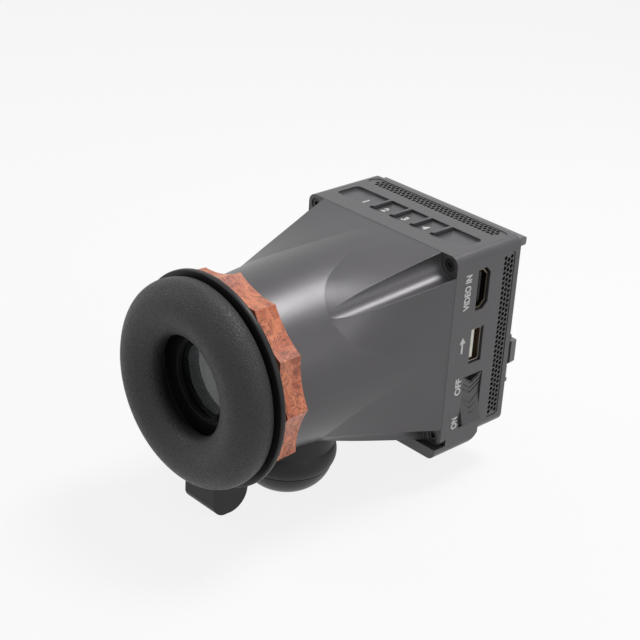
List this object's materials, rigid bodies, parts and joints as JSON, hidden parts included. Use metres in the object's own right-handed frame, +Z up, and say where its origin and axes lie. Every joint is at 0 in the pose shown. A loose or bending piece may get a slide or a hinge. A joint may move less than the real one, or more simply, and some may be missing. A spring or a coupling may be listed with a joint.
{
  "type": "electronic viewfinder",
  "caption": "Electronic viewfinder with a square-to-round metal funnel, padded ring eyecup, wooden focus ring, top function keys, side sockets, power rocker and a swivel foot.",
  "frame": {"origin": "centre of the mouth of the mounting thread, in the bottom of the swivel foot", "axes": "+Z up along the foot's swivel axis; +Y forwards along the optical axis, from the eyecup to the display box; +X to the user's right, the side with the sockets and the power rocker"},
  "size_m": [0.0784, 0.1325, 0.0932],
  "materials": {
    "anthracite_metal": "fine satin blast",
    "black_metal": "satin",
    "key_metal": "satin",
    "burl_wood": "oiled",
    "soft_leather": "fine grain",
    "black_rubber": "matte",
    "black_plastic": "matte",
    "white_plastic": "moulded",
    "steel": "machined",
    "black_steel": "black oxide",
    "nickel": "plated",
    "brass": "machined",
    "board_green": "lacquered",
    "lens_glass": "polished",
    "display_glass": "polished",
    "bright_metal": "milled"
  },
  "bodies": {
    "housing": {"rear_housing": "anthracite_metal", "funnel_housing": "anthracite_metal", "funnel_screws": "black_steel", "top_vent_grille": "anthracite_metal", "side_vent_grille": "anthracite_metal", "key_switches": "black_plastic", "key_board": "board_green", "key_board_screws": "steel", "display_gasket": "black_rubber", "display_tray": "black_plastic", "display_panel": "display_glass", "backlight_unit": "white_plastic", "display_backplate": "steel", "display_flex": "brass", "main_board": "board_green", "board_screws": "steel", "video_processor": "black_plastic", "heat_sink": "bright_metal", "video_socket_shell": "nickel", "video_socket_tongue": "black_plastic", "data_socket_shell": "nickel", "data_socket_tongue": "white_plastic", "rocker_pin": "steel", "rocker_frame": "black_plastic", "battery_plate": "black_plastic", "latch_spring": "steel", "plate_screws": "steel", "battery_contacts": "brass", "ring_retainer": "black_metal", "eyecup_clip": "steel", "foot_boss": "black_metal", "foot_collar": "black_rubber", "friction_washer": "white_plastic", "spring_washer": "steel", "pivot_bolt": "steel", "foot_screws": "steel", "chin_insert": "steel"},
    "focus_ring": {"focus_ring": "burl_wood", "ring_sleeve": "bright_metal"},
    "lens_group": {"lens_cell": "black_metal", "front_lens": "lens_glass", "rear_lens": "lens_glass", "lens_spacer": "black_metal", "sight_ring": "black_metal", "follower_pins": "steel"},
    "eyecup": {"eyecup_flange": "black_metal", "eyecup_pad": "soft_leather", "eyecup_tab": "black_rubber"},
    "foot": {"foot_cup": "black_plastic", "foot_insert": "steel"},
    "rocker": {"power_rocker": "black_plastic"},
    "latch": {"battery_latch": "black_plastic"},
    "key_1": {"function_key_1": "key_metal"},
    "key_2": {"function_key_2": "key_metal"},
    "key_3": {"function_key_3": "key_metal"},
    "key_4": {"function_key_4": "key_metal"}
  },
  "joints": [
    {"name": "focus_turn", "type": "hinge", "parent": "housing", "child": "focus_ring", "pos_m": [0, -0.02995, 0.0547], "axis": [0, 1, 0], "range_deg": [-60, 60]},
    {"name": "lens_travel", "type": "slide", "parent": "housing", "child": "lens_group", "axis": [0, 1, 0], "range_m": [-0.00201, 0.00201]},
    {"name": "eyecup_turn", "type": "hinge", "parent": "housing", "child": "eyecup", "pos_m": [0, -0.0378, 0.0547], "axis": [0, 1, 0], "continuous": true},
    {"name": "foot_swivel", "type": "hinge", "parent": "housing", "child": "foot", "pos_m": [0, 0, 0.0102], "axis": [0, 0, 1], "continuous": true},
    {"name": "power_switch", "type": "hinge", "parent": "housing", "child": "rocker", "pos_m": [0.0334, 0.05485, 0.0329], "axis": [0, 1, 0], "range_deg": [0, 12]},
    {"name": "latch_slide", "type": "slide", "parent": "housing", "child": "latch", "axis": [0, 0, -1], "range_m": [0, 0.003], "stiffness_N_per_m": 400, "springref_m": -0.003, "deforming": ["latch_spring"]},
    {"name": "key_1_press", "type": "slide", "parent": "housing", "child": "key_1", "axis": [0, 0, -1], "range_m": [0, 0.0005], "stiffness_N_per_m": 1000, "springref_m": -0.001},
    {"name": "key_2_press", "type": "slide", "parent": "housing", "child": "key_2", "axis": [0, 0, -1], "range_m": [0, 0.0005], "stiffness_N_per_m": 1000, "springref_m": -0.001},
    {"name": "key_3_press", "type": "slide", "parent": "housing", "child": "key_3", "axis": [0, 0, -1], "range_m": [0, 0.0005], "stiffness_N_per_m": 1000, "springref_m": -0.001},
    {"name": "key_4_press", "type": "slide", "parent": "housing", "child": "key_4", "axis": [0, 0, -1], "range_m": [0, 0.0005], "stiffness_N_per_m": 1000, "springref_m": -0.001}
  ],
  "couplings": [
    {"joint": "lens_travel", "follows": "focus_turn", "m_per_rad": -0.0019099}
  ]
}
